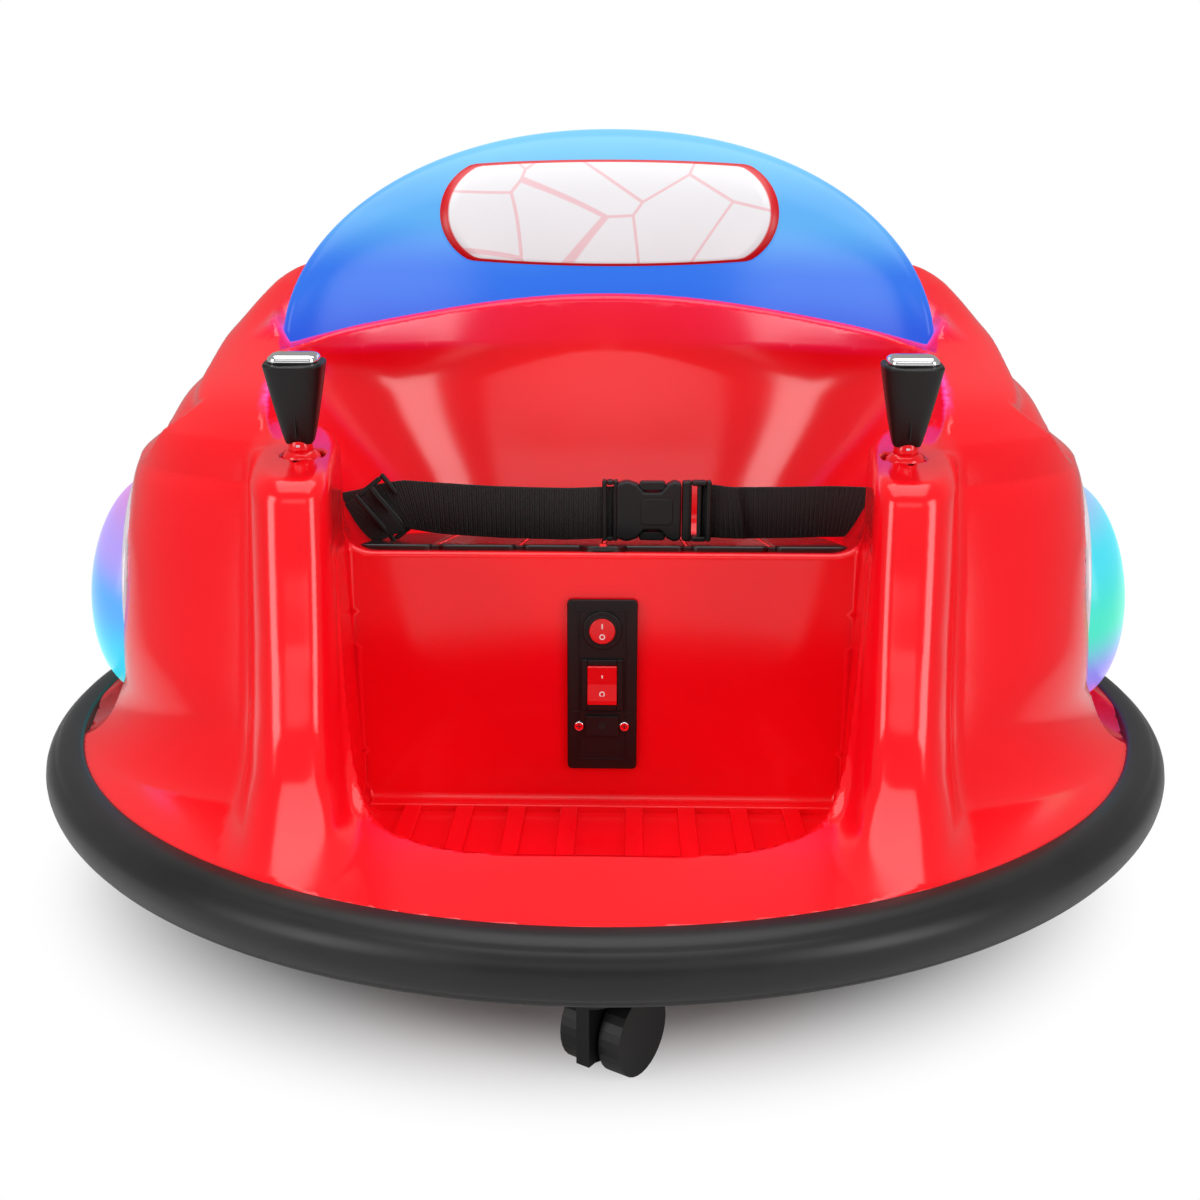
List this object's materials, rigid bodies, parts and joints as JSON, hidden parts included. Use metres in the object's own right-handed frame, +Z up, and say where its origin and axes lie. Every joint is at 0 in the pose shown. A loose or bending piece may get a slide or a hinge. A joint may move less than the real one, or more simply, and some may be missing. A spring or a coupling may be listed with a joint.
{
  "type": "ride-on bumper car",
  "caption": "Child's electric bumper car: round moulded shell with bucket seat and footwell, bumper ring, light dome, side lamps, lap belt and twin joysticks.",
  "frame": {"origin": "on the floor, at the middle of the bounding box", "axes": "+Z up, -Y the way the rider faces, +X the rider's left"},
  "size_m": [0.67, 0.73, 0.446],
  "materials": {
    "red_plastic": "high gloss moulded polypropylene",
    "black_plastic": "satin moulded",
    "bumper_plastic": "satin, slightly soft",
    "dome_plastic": "translucent, lit from inside",
    "lamp_plastic": "translucent, lit from inside",
    "lamp_rim": "pale gloss",
    "badge_plastic": "blank printed plate",
    "mat_plastic": "satin",
    "switch_red": "gloss",
    "webbing": "woven nylon",
    "buckle_plastic": "fine texture",
    "battery_case": "plain",
    "axle_steel": "plain",
    "drive_tyre": "moulded tread band",
    "grip_plastic": "satin",
    "stick_chrome": "mirror",
    "castor_plastic": "satin"
  },
  "bodies": {
    "car": {"body_shell": "red_plastic", "floor_pan": "black_plastic", "bumper_ring": "bumper_plastic", "light_dome": "dome_plastic", "dome_badge": "badge_plastic", "seat_mat": "mat_plastic", "control_plate": "black_plastic", "round_switch": "switch_red", "square_switch": "switch_red", "charge_cover": "black_plastic", "belt_left": "webbing", "belt_right": "webbing", "buckle_latch": "buckle_plastic", "buckle_socket": "buckle_plastic", "belt_adjuster": "buckle_plastic", "battery": "battery_case", "lamp_rim_left": "lamp_rim", "lamp_lens_left": "lamp_plastic", "gearbox_left": "black_plastic", "lamp_rim_right": "lamp_rim", "lamp_lens_right": "lamp_plastic", "gearbox_right": "black_plastic"},
    "drive_wheel_left": {"drive_axle_left": "axle_steel", "drive_hub_left": "black_plastic", "drive_tyre_left": "drive_tyre"},
    "joystick_left": {"stick_ball_left": "red_plastic", "stick_grip_left": "grip_plastic", "stick_cap_left": "stick_chrome"},
    "drive_wheel_right": {"drive_axle_right": "axle_steel", "drive_hub_right": "black_plastic", "drive_tyre_right": "drive_tyre"},
    "joystick_right": {"stick_ball_right": "red_plastic", "stick_grip_right": "grip_plastic", "stick_cap_right": "stick_chrome"},
    "castor_front": {"castor_fork_front": "black_plastic"},
    "castor_wheels_front": {"castor_wheels_front": "castor_plastic"},
    "castor_rear": {"castor_fork_rear": "black_plastic"},
    "castor_wheels_rear": {"castor_wheels_rear": "castor_plastic"}
  },
  "joints": [
    {"name": "drive_left_spin", "type": "hinge", "parent": "car", "child": "drive_wheel_left", "pos_m": [0.215, 0.018, 0.055], "axis": [1, 0, 0], "continuous": true},
    {"name": "drive_right_spin", "type": "hinge", "parent": "car", "child": "drive_wheel_right", "pos_m": [-0.215, 0.018, 0.055], "axis": [1, 0, 0], "continuous": true},
    {"name": "castor_front_swivel", "type": "hinge", "parent": "car", "child": "castor_front", "pos_m": [0, -0.30179, 0.045], "axis": [0, 0, 1], "continuous": true},
    {"name": "castor_front_roll", "type": "hinge", "parent": "castor_front", "child": "castor_wheels_front", "pos_m": [0.00871, -0.28837, 0.02], "axis": [-0.8387, 0.5446, 0], "continuous": true},
    {"name": "castor_rear_swivel", "type": "hinge", "parent": "car", "child": "castor_rear", "pos_m": [0, 0.30179, 0.045], "axis": [0, 0, 1], "continuous": true},
    {"name": "castor_rear_roll", "type": "hinge", "parent": "castor_rear", "child": "castor_wheels_rear", "pos_m": [-0.00547, 0.28676, 0.02], "axis": [0.9397, -0.342, 0], "continuous": true},
    {"name": "joystick_left_lean", "type": "hinge", "parent": "car", "child": "joystick_left", "pos_m": [0.1575, -0.13999, 0.25547], "axis": [1, 0, 0], "range_deg": [-15, 15], "stiffness_Nm_per_rad": 0.3},
    {"name": "joystick_right_lean", "type": "hinge", "parent": "car", "child": "joystick_right", "pos_m": [-0.1575, -0.13999, 0.25547], "axis": [1, 0, 0], "range_deg": [-15, 15], "stiffness_Nm_per_rad": 0.3}
  ]
}
